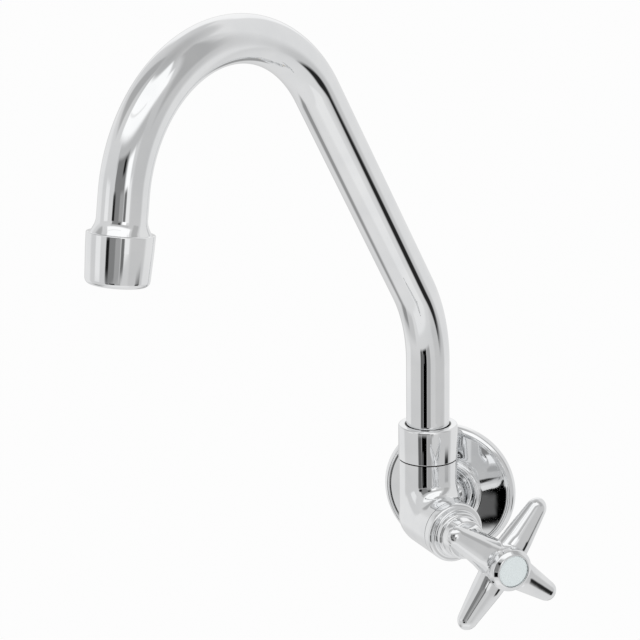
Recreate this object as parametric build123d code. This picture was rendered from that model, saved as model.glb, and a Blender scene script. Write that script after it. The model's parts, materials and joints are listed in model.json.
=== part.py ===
from build123d import *
import os
from math import cos, radians, sin

# Commercial wall faucet: one inlet, one cross handle, swivelling gooseneck spout.
# Millimetres. The origin is the centre of the flange's back, on the wall plane.
# +Y runs into the wall, -Y out into the room, +Z up. The spout's column stands on
# the axis x = 0, y = -WALL_TO_COLUMN, and the valve lies level, turned to the right.

# ---------------------------------------------------------------- driving dimensions
WALL_TO_COLUMN = 38.0      # wall plane to the spout's turning axis
HANDLE_ANGLE = 45.0        # valve axis, to the right of straight out from the wall
SPOUT_REST_TURN = -22.0    # spout's direction at rest, from straight out

FIT = 0.05                 # running fit, per side
GAP = 0.3                  # clearance between curved faces of different pieces
PLAY = 0.1                 # end play between flat faces that turn on each other
CUT_PAST = 1.0             # how far a cutter or a buried end runs past a face

# Wall flange: a dished cover with a rounded rim and a raised collar
FLANGE_R = 31.0            # widest part of the rim
FLANGE_FOOT_R = FLANGE_R - 0.8     # where the rim meets the wall
FLANGE_CREST_R = FLANGE_R - 2.0
FLANGE_DEPTH = 6.0         # crest of the rim, off the wall
FLANGE_WALL = 1.4
FLANGE_DISH_R = FLANGE_CREST_R - 2.4    # lowest ring of the dish
FLANGE_DISH = 2.6          # how far it lies behind the crest
FLANGE_RISE = 1.7          # how far the dish climbs again towards the collar
FLANGE_COLLAR_R = 16.0
FLANGE_COLLAR_H = 10.0     # face of the collar, off the wall
FLANGE_LIP_W = 2.0         # flat face of the collar
FLANGE_LIP_SINK = 1.5      # from there the face drops towards the shank

# Inlet shank, with a half-inch pipe thread on its end
SHANK_R = 11.2
THREAD_R = 10.67
SHANK_STOP = 1.0           # the shank ends this far in front of the wall plane
THREAD_OUT = 18.0          # length that stands out behind the wall plane
THREAD_CHAMFER = 1.0
INLET_BORE_R = 7.0
INLET_BORE_END = 3.0       # how far behind the column axis the inlet bore stops

# Valve body
NECK_R = 12.9
NECK_TOP = 27.0
BOSS_R = 13.2
BOSS_END = 21.2            # face of the boss, along the valve axis
ELBOW_OUT = 13.8           # half width of the elbow's mitre, on the outside
ELBOW_IN = 16.6            # and towards the inside corner
ELBOW_START = 16.5         # where the straight runs turn into the elbow
SHANK_FILLET = 2.5
SOCKET_R = 10.0            # bore that the spout turns in
SOCKET_FLOOR = 14.5
SPIGOT_R = 11.7            # threaded end of the neck, inside the spout nut
SPIGOT_H = 8.6
CHAMBER_R = 9.2
PORT_R = 2.6               # way up from the valve chamber to the spout
PORT_AT = 7.7              # its place along the valve axis

# Valve seat, placed along the valve axis
SEAT_FACE = 6.0
SEAT_R = 7.0
SEAT_HEAD = 1.4
SEAT_LIP = 0.6
SEAT_LIP_R = 4.8
SEAT_THREAD_R = 5.6
SEAT_THREAD_L = 5.0
SEAT_BORE_R = 3.6
SEAT_POCKET = 6.0          # depth of the pocket behind the seat

# Bonnet, placed along the valve axis
BONNET_THREAD_R = 10.6
BONNET_SKIRT = 9.0         # length of the threaded skirt in the boss
GASKET_T = 0.8
GASKET_R = 12.6
BONNET_FLANGE_R = 13.6
BONNET_FLANGE_T = 3.6
BONNET_STEP_R = 11.2
BONNET_STEP_L = 3.4
BONNET_TOP_R = 9.4
BONNET_TOP_L = 6.4
BONNET_WEB = 2.4
BONNET_EDGE = 0.7
GUIDE_R = 7.2              # bore that the plunger slides in
KEY_W = 3.0
KEY_OUT = 1.2
KEYS = 2

# Spindle
SPINDLE_R = 4.5
SPINDLE_THREAD_R = 3.4
SPINDLE_COLLAR_R = 6.0
SPINDLE_COLLAR_T = 2.0
SPLINE_R = 4.0
SPLINE_TEETH = 16
SPLINE_DEPTH = 0.4
SPLINE_L = 12.0

# Plunger: rides the spindle's thread and carries the seat washer
HANDLE_TURNS = 2.25        # from shut to fully open
SCREW_LEAD = 1.75          # how far one turn lifts the plunger
PLUNGER_FLOOR = 2.8
WASHER_T = 3.0
WASHER_CUP = 1.8           # depth of the washer's cup
WASHER_CUP_WALL = 0.8
CLOSED_GAP = 0.2
WASHER_SCREW_R = 1.5
WASHER_SCREW_HEAD_R = 2.9
WASHER_SCREW_HEAD_T = 1.5

# Packing
THRUST_T = 0.8
PACKING_T = 2.4
GLAND_SLEEVE_L = 2.6
GLAND_HEAD_R = 7.8
GLAND_HEAD_L = 4.0
GLAND_CROWN = 1.0          # height of the chamfer on the nut's corners

# Cross handle, placed along the valve axis
HUB_BACK = 43.0
HUB_BACK_R = 6.8
HUB_FRONT = 70.2
HUB_FRONT_R = 9.2
HUB_BAND = 4.0             # straight band behind the button
HUB_WEB = 2.0              # metal under the handle screw's head
HUB_RECESS_R = 5.6
ARM_PLANE = 65.1           # middle plane of the four arms
ARM_REACH = 28.1           # hub axis to the centre of an arm's round tip
ARM_TIP_R = 4.1
ARM_START = 4.0            # buried start of an arm, from the hub axis
ARM_ROOT_W = 15.4          # width and thickness there
ARM_ROOT_T = 11.3
ARM_TIP_W = 7.8
ARM_TIP_T = 6.8
ARM_TURN = -36.9           # rest position of the cross
ARMS = 4

# Handle screw and index button
SCREW_HEAD_R = 3.8
SCREW_HEAD_T = 2.2
SCREW_R = 2.0
SCREW_L = 8.0              # depth of its hole in the spindle
SCREW_END_GAP = 2.0
INDEX_R = 9.5
INDEX_H = 4.8
INDEX_FACE_R = 7.4
INDEX_SKIRT_L = 3.0
INDEX_SKIRT_WALL = 1.2
DISC_R = 6.8
DISC_T = 1.0
DISC_SINK = 0.35
KNURL_TEETH = 48
KNURL_H = 1.4
KNURL_DEPTH = 0.25

# Spout nut
NUT_R = 13.1
NUT_H = 15.6
NUT_LIP_R = 10.2
NUT_LIP_T = 2.2
NUT_GAP = 0.45             # dark line between the nut and the neck
NUT_EDGE = 0.9

# Spout tube
TUBE_R = 9.525
TUBE_WALL = 1.0
COLUMN_TOP = 71.5          # where the column starts to bend
LOWER_BEND_R = 65.7
LOWER_BEND = 32.65
RUN_L = 111.6
GOOSE_R = 58.7
GOOSE_SWEEP = 138.3
OUTLET_RUN = 9.0           # straight end of the tube above the outlet ferrule

# Spout ferrule: brazed into the tube's foot, turns in the neck
FERRULE_BORE_R = 6.8
FERRULE_UP = 6.0           # length inside the tube
FERRULE_FOOT_GAP = 0.5
RING_GROOVE_W = 2.0
RING_GROOVE_DEPTH = 1.7
RING_R = 0.8
RING_LOW = 4.0             # foot of the ferrule to the first ring
RING_PITCH = 6.0
RINGS = 2
SLIP_T = 0.8

# Outlet
OUTLET_FLARE_R = 11.4
OUTLET_FLARE_H = 5.2
OUTLET_THREAD_R = 10.6
OUTLET_THREAD_L = 6.5
OUTLET_BORE_R = 7.2
AERATOR_R = 12.9
AERATOR_FOOT_R = 12.1
AERATOR_H = 20.2
AERATOR_LIP_R = 8.8
AERATOR_LIP_T = 1.2
AERATOR_EDGE = 1.6
AERATOR_RIM_EDGE = 0.4
AERATOR_WASHER_T = 1.5
CORE_R = 10.2
CORE_FLOOR = 1.6
CORE_WALL = 1.0
SCREEN_T = 0.5
SCREEN_GAP = 0.4
SCREENS = 2
JET_R = 0.9
JET_CIRCLE = 5.4
JETS = 10
MESH_HOLE_R = 0.8
MESH_PITCH = 2.4
MESH_RINGS = 3

# ---------------------------------------------------------------- worked-out places
BONNET_FOOT = BOSS_END - BONNET_SKIRT
BONNET_TOP = BOSS_END + GASKET_T + BONNET_FLANGE_T + BONNET_STEP_L + BONNET_TOP_L
PACKING_BORE_R = SPINDLE_COLLAR_R + GAP
WEB_TOP = BONNET_TOP - GLAND_SLEEVE_L - PACKING_T - THRUST_T - SPINDLE_COLLAR_T - 2 * PLAY
WEB_FOOT = WEB_TOP - BONNET_WEB
LIFT = HANDLE_TURNS * SCREW_LEAD
WASHER_FACE = SEAT_FACE + CLOSED_GAP
CUP_FLOOR = WASHER_FACE + WASHER_T
PLUNGER_R = GUIDE_R - GAP
PLUNGER_TOP = WEB_FOOT - LIFT - GAP
SPINDLE_FOOT = CUP_FLOOR + PLUNGER_FLOOR + LIFT + GAP
COLLAR_FOOT = WEB_TOP + PLAY
COLLAR_TOP = COLLAR_FOOT + SPINDLE_COLLAR_T
HUB_SEAT = HUB_FRONT - INDEX_SKIRT_L - GAP - SCREW_HEAD_T
SPINDLE_TOP = HUB_SEAT - HUB_WEB - PLAY
SPIGOT_TOP = NECK_TOP + SPIGOT_H
NUT_FOOT = NECK_TOP + NUT_GAP
NUT_TOP = NUT_FOOT + NUT_H
LIP_FOOT = NUT_TOP - NUT_LIP_T
FERRULE_SEAT = SPIGOT_TOP + SLIP_T + PLAY
TUBE_FOOT = LIP_FOOT - SLIP_T - PLAY
FERRULE_FOOT = SOCKET_FLOOR + FERRULE_FOOT_GAP
TUBE_BORE_R = TUBE_R - TUBE_WALL
AERATOR_SEAT = OUTLET_FLARE_H + OUTLET_THREAD_L
AERATOR_END = OUTLET_FLARE_H + AERATOR_H

COLUMN = Vector(0, -WALL_TO_COLUMN, 0)
VALVE_DIR = Vector(sin(radians(HANDLE_ANGLE)), -cos(radians(HANDLE_ANGLE)), 0)
VALVE_SIDE = Vector(cos(radians(HANDLE_ANGLE)), sin(radians(HANDLE_ANGLE)), 0)
SPOUT_DIR = Vector(sin(radians(SPOUT_REST_TURN)), -cos(radians(SPOUT_REST_TURN)), 0)

ON_COLUMN = Location(Plane(origin=COLUMN))
ON_VALVE = Location(Plane(origin=COLUMN, x_dir=VALVE_SIDE, z_dir=VALVE_DIR))
ON_ELBOW = Location(Plane(origin=COLUMN, x_dir=VALVE_DIR, z_dir=(0, 0, 1)))
ON_SPOUT = Location(Plane(origin=COLUMN, x_dir=SPOUT_DIR, z_dir=(0, 0, 1)))
INTO_WALL = Location(Plane(origin=(0, 0, 0), x_dir=(1, 0, 0), z_dir=(0, 1, 0)))
OUT_OF_WALL = Location(Plane(origin=(0, 0, 0), x_dir=(1, 0, 0), z_dir=(0, -1, 0)))


# ---------------------------------------------------------------- shop helpers
def bar(radius, start, end):
    """Round bar along Z from start to end."""
    return Pos(0, 0, start) * Cylinder(radius, end - start, align=(Align.CENTER, Align.CENTER, Align.MIN))


def turned(points):
    """Lathe-turned piece about Z, from a closed outline of (radius, height) points."""
    outline = Polyline(*[(radius, 0, height) for radius, height in points], close=True)
    return revolve(make_face(outline), Axis.Z)


def washer(outer, inner, start, end):
    """Flat ring along Z."""
    return turned([(inner, start), (outer, start), (outer, end), (inner, end)])


def rim(body, radius, height):
    """Circular edges of a turned piece at one radius and height."""
    circles = body.edges().filter_by(GeomType.CIRCLE)
    return [e for e in circles if abs(e.radius - radius) < 0.02 and abs(e.arc_center.Z - height) < 0.02]


def around(count, shape, start=0.0):
    """Copies of a shape spaced evenly about Z."""
    return [Rot(0, 0, start + 360.0 * i / count) * shape for i in range(count)]


# ---------------------------------------------------------------- wall side
def wall_flange():
    """Pressed cover: rounded rim, shallow dish and a raised collar round the shank."""
    hole = SHANK_R + GAP
    low = FLANGE_DEPTH - FLANGE_DISH
    foot = low + FLANGE_RISE
    foot_r = FLANGE_COLLAR_R + FLANGE_WALL
    seat = FLANGE_COLLAR_H - FLANGE_LIP_SINK
    side = ThreePointArc(
        (FLANGE_FOOT_R, 0, 0),
        (FLANGE_R, 0, FLANGE_DEPTH / 2),
        (FLANGE_CREST_R, 0, FLANGE_DEPTH))
    bowl = Spline(
        (FLANGE_CREST_R, 0, FLANGE_DEPTH),
        (FLANGE_DISH_R, 0, low),
        (foot_r, 0, foot),
        tangents=[(-0.5, 0, -1), (-1, 0, 0.2)])
    rest = Polyline(
        (foot_r, 0, foot),
        (FLANGE_COLLAR_R, 0, foot + FLANGE_WALL),
        (FLANGE_COLLAR_R, 0, FLANGE_COLLAR_H),
        (FLANGE_COLLAR_R - FLANGE_LIP_W, 0, FLANGE_COLLAR_H),
        (hole, 0, seat),
        (hole, 0, seat - FLANGE_WALL),
        (FLANGE_COLLAR_R - FLANGE_WALL, 0, seat - FLANGE_WALL / 2),
        (FLANGE_COLLAR_R - FLANGE_WALL, 0, foot - FLANGE_WALL),
        (FLANGE_DISH_R, 0, low - FLANGE_WALL),
        (FLANGE_CREST_R, 0, low),
        (FLANGE_FOOT_R - FLANGE_WALL, 0, 0),
        (FLANGE_FOOT_R, 0, 0))
    cover = revolve(make_face([side, bowl, rest]), Axis.Z)
    crest = rim(cover, FLANGE_CREST_R, FLANGE_DEPTH)
    lip_edge = rim(cover, FLANGE_COLLAR_R, FLANGE_COLLAR_H)
    return OUT_OF_WALL * fillet(crest + lip_edge, FLANGE_WALL / 2)


def elbow_casting():
    """Outside of the casting: the neck swings through the elbow into the valve boss."""
    corner = Vector(1, 0, 1).normalized()
    mitre_at = corner * ((ELBOW_IN - ELBOW_OUT) / 2)
    neck_end = Plane(origin=(0, 0, NECK_TOP), x_dir=(1, 0, 0), z_dir=(0, 0, -1))
    neck_turn = Plane(origin=(0, 0, ELBOW_START), x_dir=(1, 0, 0), z_dir=(0, 0, -1))
    mitre = Plane(origin=mitre_at, x_dir=corner, z_dir=(1, 0, -1))
    boss_turn = Plane(origin=(ELBOW_START, 0, 0), x_dir=(0, 0, 1), z_dir=(1, 0, 0))
    boss_end = Plane(origin=(BOSS_END, 0, 0), x_dir=(0, 0, 1), z_dir=(1, 0, 0))
    sections = [
        neck_end * Circle(NECK_R),
        neck_turn * Circle(NECK_R),
        mitre * Ellipse((ELBOW_IN + ELBOW_OUT) / 2, BOSS_R),
        boss_turn * Circle(BOSS_R),
        boss_end * Circle(BOSS_R),
    ]
    return ON_ELBOW * loft(sections)


def valve_body():
    """Casting with its shank, threaded spigot, cored waterway and bores."""
    elbow = elbow_casting()
    shank = INTO_WALL * bar(SHANK_R, -WALL_TO_COLUMN, -SHANK_STOP)
    casting = elbow + shank
    casting = fillet(new_edges(elbow, shank, combined=casting), SHANK_FILLET)
    thread = bar(THREAD_R, -2 * SHANK_STOP, THREAD_OUT)
    thread = INTO_WALL * chamfer(rim(thread, THREAD_R, THREAD_OUT), THREAD_CHAMFER)
    spigot = ON_COLUMN * bar(SPIGOT_R, NECK_TOP - CUT_PAST, SPIGOT_TOP)
    casting = casting + thread + spigot

    socket = ON_COLUMN * bar(SOCKET_R, SOCKET_FLOOR, SPIGOT_TOP + CUT_PAST)
    inlet = INTO_WALL * bar(INLET_BORE_R, INLET_BORE_END - WALL_TO_COLUMN, THREAD_OUT + CUT_PAST)
    seat_floor = SEAT_FACE - SEAT_LIP - SEAT_HEAD
    pocket = ON_VALVE * bar(SEAT_THREAD_R + FIT, seat_floor - SEAT_THREAD_L - SEAT_POCKET, BOSS_END)
    seat_rest = ON_VALVE * bar(SEAT_R + FIT, seat_floor, BOSS_END)
    chamber = ON_VALVE * bar(CHAMBER_R, SEAT_FACE - SEAT_LIP, BOSS_END + CUT_PAST)
    bonnet_bore = ON_VALVE * bar(BONNET_THREAD_R + FIT, BONNET_FOOT, BOSS_END + CUT_PAST)
    port = ON_ELBOW * Pos(PORT_AT, 0, 0) * bar(PORT_R, 0, SOCKET_FLOOR + CUT_PAST)
    return casting - [socket, inlet, pocket, seat_rest, chamber, bonnet_bore, port]


# ---------------------------------------------------------------- valve
def valve_seat():
    """Screwed-in seat with a raised lip that the washer shuts on."""
    shoulder = SEAT_FACE - SEAT_LIP
    head = shoulder - SEAT_HEAD
    return ON_VALVE * turned([
        (SEAT_BORE_R, head - SEAT_THREAD_L),
        (SEAT_THREAD_R, head - SEAT_THREAD_L),
        (SEAT_THREAD_R, head),
        (SEAT_R, head),
        (SEAT_R, shoulder),
        (SEAT_LIP_R, shoulder),
        (SEAT_LIP_R - SEAT_LIP / 2, SEAT_FACE),
        (SEAT_BORE_R, SEAT_FACE)])


def bonnet():
    """Stepped bonnet: threaded skirt, round flange, two steps, packing bore."""
    flange_foot = BOSS_END + GASKET_T
    flange_top = flange_foot + BONNET_FLANGE_T
    step_top = flange_top + BONNET_STEP_L
    stem_hole = SPINDLE_THREAD_R + GAP
    body = turned([
        (GUIDE_R, BONNET_FOOT),
        (BONNET_THREAD_R, BONNET_FOOT),
        (BONNET_THREAD_R, flange_foot),
        (BONNET_FLANGE_R, flange_foot),
        (BONNET_FLANGE_R, flange_top),
        (BONNET_STEP_R, flange_top),
        (BONNET_STEP_R, step_top),
        (BONNET_TOP_R, step_top),
        (BONNET_TOP_R, BONNET_TOP),
        (PACKING_BORE_R, BONNET_TOP),
        (PACKING_BORE_R, WEB_TOP),
        (stem_hole, WEB_TOP),
        (stem_hole, WEB_FOOT),
        (GUIDE_R, WEB_FOOT)])
    edges = rim(body, BONNET_FLANGE_R, flange_top) + rim(body, BONNET_STEP_R, step_top)
    edges += rim(body, BONNET_TOP_R, BONNET_TOP)
    body = fillet(edges, BONNET_EDGE)
    slot_out = GUIDE_R + KEY_OUT
    slot_l = WEB_FOOT - BONNET_FOOT
    slot = Pos(slot_out / 2, 0, BONNET_FOOT + slot_l / 2) * Box(slot_out, KEY_W, slot_l)
    return ON_VALVE * (body - around(KEYS, slot))


def bonnet_gasket():
    """Fibre ring under the bonnet's flange."""
    return ON_VALVE * washer(GASKET_R, BONNET_THREAD_R + FIT, BOSS_END, BOSS_END + GASKET_T)


def spindle():
    """Stem that turns but doesn't rise: thread, thrust collar, splined top."""
    spline_foot = SPINDLE_TOP - SPLINE_L
    stem = turned([
        (0, SPINDLE_FOOT),
        (SPINDLE_THREAD_R, SPINDLE_FOOT),
        (SPINDLE_THREAD_R, COLLAR_FOOT),
        (SPINDLE_COLLAR_R, COLLAR_FOOT),
        (SPINDLE_COLLAR_R, COLLAR_TOP),
        (SPINDLE_R, COLLAR_TOP),
        (SPINDLE_R, spline_foot),
        (SPLINE_R, spline_foot),
        (SPLINE_R, SPINDLE_TOP),
        (0, SPINDLE_TOP)])
    groove_w = 2 * SPLINE_DEPTH
    groove = Pos(SPLINE_R, 0, SPINDLE_TOP - SPLINE_L / 2) * Rot(0, 0, 45) * Box(groove_w, groove_w, SPLINE_L)
    screw_hole = bar(SCREW_R + FIT, SPINDLE_TOP - SCREW_L, SPINDLE_TOP)
    return ON_VALVE * (stem - around(SPLINE_TEETH, groove) - screw_hole)


def plunger():
    """Keyed carrier on the spindle's thread, with a cup for the seat washer."""
    cup_r = PLUNGER_R - WASHER_CUP_WALL
    bore_floor = CUP_FLOOR + PLUNGER_FLOOR
    screw_hole = WASHER_SCREW_R + FIT
    body = turned([
        (screw_hole, CUP_FLOOR),
        (cup_r, CUP_FLOOR),
        (cup_r, CUP_FLOOR - WASHER_CUP),
        (PLUNGER_R, CUP_FLOOR - WASHER_CUP),
        (PLUNGER_R, PLUNGER_TOP),
        (SPINDLE_THREAD_R + FIT, PLUNGER_TOP),
        (SPINDLE_THREAD_R + FIT, bore_floor),
        (screw_hole, bore_floor)])
    key_foot = BONNET_FOOT + GAP
    key_l = PLUNGER_TOP - key_foot
    key_in = SPINDLE_THREAD_R + CUT_PAST
    key_out = GUIDE_R + KEY_OUT - GAP
    key = Box(key_out - key_in, KEY_W - 2 * GAP, key_l)
    key = Pos((key_in + key_out) / 2, 0, key_foot + key_l / 2) * key
    return ON_VALVE * (body + around(KEYS, key))


def seat_washer():
    """Rubber disc that shuts on the seat's lip."""
    outer = PLUNGER_R - WASHER_CUP_WALL - FIT
    return ON_VALVE * washer(outer, WASHER_SCREW_R + FIT, WASHER_FACE, CUP_FLOOR)


def washer_screw():
    """Slotted screw that holds the seat washer in its cup."""
    screw = bar(WASHER_SCREW_HEAD_R, WASHER_FACE - WASHER_SCREW_HEAD_T, WASHER_FACE)
    screw += bar(WASHER_SCREW_R, WASHER_FACE, CUP_FLOOR + PLUNGER_FLOOR - GAP)
    slot_depth = WASHER_SCREW_HEAD_T / 2
    slot = Pos(0, 0, WASHER_FACE - WASHER_SCREW_HEAD_T + slot_depth / 2)
    slot *= Box(2 * WASHER_SCREW_HEAD_R + CUT_PAST, WASHER_SCREW_R / 2, slot_depth)
    return ON_VALVE * (screw - slot)


def thrust_ring():
    """Slippery ring between the spindle's collar and the packing."""
    foot = COLLAR_TOP + PLAY
    return ON_VALVE * washer(PACKING_BORE_R - FIT, SPINDLE_R + FIT, foot, foot + THRUST_T)


def stem_packing():
    """Soft packing ring round the spindle."""
    foot = COLLAR_TOP + PLAY + THRUST_T
    return ON_VALVE * washer(PACKING_BORE_R - FIT, SPINDLE_R + FIT, foot, foot + PACKING_T)


def packing_nut():
    """Hexagon nut that presses the packing down in the bonnet."""
    hexagon = extrude(RegularPolygon(GLAND_HEAD_R, 6), GLAND_HEAD_L)
    crown = turned([
        (0, 0),
        (GLAND_HEAD_R, 0),
        (GLAND_HEAD_R, GLAND_HEAD_L - GLAND_CROWN),
        (GLAND_HEAD_R - GLAND_CROWN, GLAND_HEAD_L),
        (0, GLAND_HEAD_L)])
    head = Pos(0, 0, BONNET_TOP) * (hexagon & crown)
    sleeve = bar(PACKING_BORE_R - FIT, BONNET_TOP - GLAND_SLEEVE_L, BONNET_TOP)
    hole = bar(SPINDLE_R + GAP, BONNET_TOP - GLAND_SLEEVE_L, BONNET_TOP + GLAND_HEAD_L)
    return ON_VALVE * (head + sleeve - hole)


# ---------------------------------------------------------------- handle
def handle_arm():
    """One tapered oval arm along X, its tip rounded like a bullet."""
    nose = ARM_REACH + ARM_TIP_R
    root = Plane(origin=(ARM_START, 0, ARM_PLANE), x_dir=(0, 1, 0), z_dir=(1, 0, 0))
    tip = Plane(origin=(nose + CUT_PAST, 0, ARM_PLANE), x_dir=(0, 1, 0), z_dir=(1, 0, 0))
    bar_of_arm = loft([
        root * Ellipse(ARM_ROOT_W / 2, ARM_ROOT_T / 2),
        tip * Ellipse(ARM_TIP_W / 2, ARM_TIP_T / 2)], ruled=True)
    flank = Polyline((ARM_REACH, ARM_TIP_R), (0, ARM_ROOT_W), (0, 0), (nose, 0))
    round_tip = ThreePointArc(
        (nose, 0),
        (ARM_REACH + ARM_TIP_R * cos(radians(45)), ARM_TIP_R * sin(radians(45))),
        (ARM_REACH, ARM_TIP_R))
    bullet = Pos(0, 0, ARM_PLANE) * revolve(make_face([flank, round_tip]), Axis.X)
    return bar_of_arm & bullet


def handle_cross():
    """Four-armed handle on a waisted hub, bored for the spindle and the button."""
    back = Line((HUB_BACK_R, 0, HUB_BACK), (0, 0, HUB_BACK))
    flank = Spline(
        (HUB_BACK_R, 0, HUB_BACK),
        (HUB_FRONT_R, 0, HUB_FRONT - HUB_BAND),
        tangents=[(0, 0, 1), (0, 0, 1)])
    rest = Polyline(
        (HUB_FRONT_R, 0, HUB_FRONT - HUB_BAND),
        (HUB_FRONT_R, 0, HUB_FRONT),
        (0, 0, HUB_FRONT),
        (0, 0, HUB_BACK))
    hub = revolve(make_face([back, flank, rest]), Axis.Z)
    button_seat = bar(INDEX_R + GAP, HUB_FRONT, HUB_FRONT + ARM_ROOT_T)
    cross = hub + around(ARMS, handle_arm() - button_seat, ARM_TURN)
    stem_bore = bar(SPINDLE_R + FIT, HUB_BACK, SPINDLE_TOP - SPLINE_L + FIT)
    spline_bore = bar(SPLINE_R + FIT, HUB_BACK, SPINDLE_TOP + PLAY)
    screw_hole = bar(SCREW_R + FIT, HUB_BACK, HUB_FRONT)
    recess = bar(HUB_RECESS_R, HUB_SEAT, HUB_FRONT)
    return ON_VALVE * (cross - [stem_bore, spline_bore, screw_hole, recess])


def handle_screw():
    """Screw that draws the handle onto the spindle's spline."""
    head = bar(SCREW_HEAD_R, HUB_SEAT, HUB_SEAT + SCREW_HEAD_T)
    head = fillet(rim(head, SCREW_HEAD_R, HUB_SEAT + SCREW_HEAD_T), SCREW_HEAD_T * 0.4)
    shaft = bar(SCREW_R, SPINDLE_TOP - SCREW_L + SCREW_END_GAP, HUB_SEAT)
    top = HUB_SEAT + SCREW_HEAD_T
    slot = Pos(0, 0, top - SCREW_HEAD_T / 4) * Box(SCREW_HEAD_R * 3, SCREW_R / 2, SCREW_HEAD_T / 2)
    return ON_VALVE * (head + shaft - slot)


def index_ring():
    """Bright ring of the index button, finely knurled round its back edge."""
    foot = HUB_FRONT
    face = foot + INDEX_H
    shoulder = foot + KNURL_H + 0.6
    disc_floor = face - DISC_SINK - DISC_T
    skirt_r = HUB_RECESS_R - FIT
    skirt_foot = foot - INDEX_SKIRT_L
    dome = ThreePointArc(
        (INDEX_R, 0, shoulder),
        ((INDEX_R + INDEX_FACE_R) / 2 + 0.45, 0, (shoulder + face) / 2 + 0.45),
        (INDEX_FACE_R, 0, face))
    rest = Polyline(
        (INDEX_FACE_R, 0, face),
        (DISC_R + FIT, 0, face),
        (DISC_R + FIT, 0, disc_floor),
        (0, 0, disc_floor),
        (0, 0, disc_floor - INDEX_SKIRT_WALL),
        (skirt_r - INDEX_SKIRT_WALL, 0, disc_floor - INDEX_SKIRT_WALL),
        (skirt_r - INDEX_SKIRT_WALL, 0, skirt_foot),
        (skirt_r, 0, skirt_foot),
        (skirt_r, 0, foot),
        (INDEX_R, 0, foot),
        (INDEX_R, 0, shoulder))
    cap = revolve(make_face([dome, rest]), Axis.Z)
    notch_w = 2 * KNURL_DEPTH
    notch = Pos(INDEX_R, 0, foot + KNURL_H / 2) * Rot(0, 0, 45) * Box(notch_w, notch_w, KNURL_H)
    return ON_VALVE * (cap - around(KNURL_TEETH, notch))


def index_disc():
    """Plain disc set into the index ring."""
    face = HUB_FRONT + INDEX_H - DISC_SINK
    disc = bar(DISC_R, face - DISC_T, face)
    return ON_VALVE * fillet(rim(disc, DISC_R, face), DISC_T / 4)


# ---------------------------------------------------------------- spout
def spout_nut():
    """Collar that traps the spout in the neck."""
    body = turned([
        (SPIGOT_R + FIT, NUT_FOOT),
        (NUT_R, NUT_FOOT),
        (NUT_R, NUT_TOP),
        (NUT_LIP_R, NUT_TOP),
        (NUT_LIP_R, LIP_FOOT),
        (SPIGOT_R + FIT, LIP_FOOT)])
    body = fillet(rim(body, NUT_R, NUT_TOP), NUT_EDGE)
    body = fillet(rim(body, NUT_R, NUT_FOOT), NUT_EDGE / 3)
    return ON_COLUMN * body


def slip_ring(foot, inner):
    """Slippery ring that the spout's ferrule turns on."""
    return ON_COLUMN * washer(SPIGOT_R - GAP, inner, foot, foot + SLIP_T)


def spout_ferrule():
    """Turned foot of the spout: grooved for its rings, flanged, brazed in the tube."""
    journal = SOCKET_R - FIT
    groove_r = journal - RING_GROOVE_DEPTH
    outline = [(FERRULE_BORE_R, FERRULE_FOOT), (journal, FERRULE_FOOT)]
    for i in range(RINGS):
        middle = FERRULE_FOOT + RING_LOW + i * RING_PITCH
        low = middle - RING_GROOVE_W / 2
        high = middle + RING_GROOVE_W / 2
        outline += [(journal, low), (groove_r, low), (groove_r, high), (journal, high)]
    outline += [
        (journal, FERRULE_SEAT),
        (SPIGOT_R - GAP, FERRULE_SEAT),
        (SPIGOT_R - GAP, TUBE_FOOT),
        (TUBE_BORE_R - FIT, TUBE_FOOT),
        (TUBE_BORE_R - FIT, TUBE_FOOT + FERRULE_UP),
        (FERRULE_BORE_R, TUBE_FOOT + FERRULE_UP)]
    return ON_COLUMN * turned(outline)


def spout_rings():
    """Rubber rings in the ferrule's grooves."""
    middle_r = SOCKET_R - FIT - RING_GROOVE_DEPTH + RING_R + FIT
    heights = [FERRULE_FOOT + RING_LOW + i * RING_PITCH for i in range(RINGS)]
    return Compound(children=[ON_COLUMN * Pos(0, 0, z) * Torus(middle_r, RING_R) for z in heights])


def spout_points():
    """Corners of the centre line in the spout's own plane, as (out, up)."""
    lean = radians(LOWER_BEND)
    tail = radians(LOWER_BEND + GOOSE_SWEEP)
    foot = (0.0, TUBE_FOOT)
    bend_start = (0.0, COLUMN_TOP)
    bend_end = (LOWER_BEND_R * (1 - cos(lean)), COLUMN_TOP + LOWER_BEND_R * sin(lean))
    run_end = (bend_end[0] + RUN_L * sin(lean), bend_end[1] + RUN_L * cos(lean))
    centre = (run_end[0] + GOOSE_R * cos(lean), run_end[1] - GOOSE_R * sin(lean))
    goose_end = (centre[0] - GOOSE_R * cos(tail), centre[1] + GOOSE_R * sin(tail))
    outlet = (goose_end[0] + OUTLET_RUN * sin(tail), goose_end[1] + OUTLET_RUN * cos(tail))
    return foot, bend_start, bend_end, run_end, goose_end, outlet


def spout_centre_line():
    """Centre line of the tube: column, lower bend, long run, gooseneck, outlet."""
    foot, bend_start, bend_end, run_end, goose_end, outlet = [Vector(p[0], 0, p[1]) for p in spout_points()]
    lean = radians(LOWER_BEND)
    upright = Vector(0, 0, 1)
    leaning = Vector(sin(lean), 0, cos(lean))
    return Wire([
        Edge.make_line(foot, bend_start),
        Edge.make_tangent_arc(bend_start, upright, bend_end),
        Edge.make_line(bend_end, run_end),
        Edge.make_tangent_arc(run_end, leaning, goose_end),
        Edge.make_line(goose_end, outlet)])


def outlet_location():
    """Frame at the tube's end: origin on its centre, Z along the flow."""
    tail = radians(LOWER_BEND + GOOSE_SWEEP)
    flow = SPOUT_DIR * sin(tail) + Vector(0, 0, 1) * cos(tail)
    end = spout_points()[-1]
    side = SPOUT_DIR.cross(Vector(0, 0, 1))
    return Location(Plane(origin=COLUMN + SPOUT_DIR * end[0] + Vector(0, 0, end[1]), x_dir=side, z_dir=flow))


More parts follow.
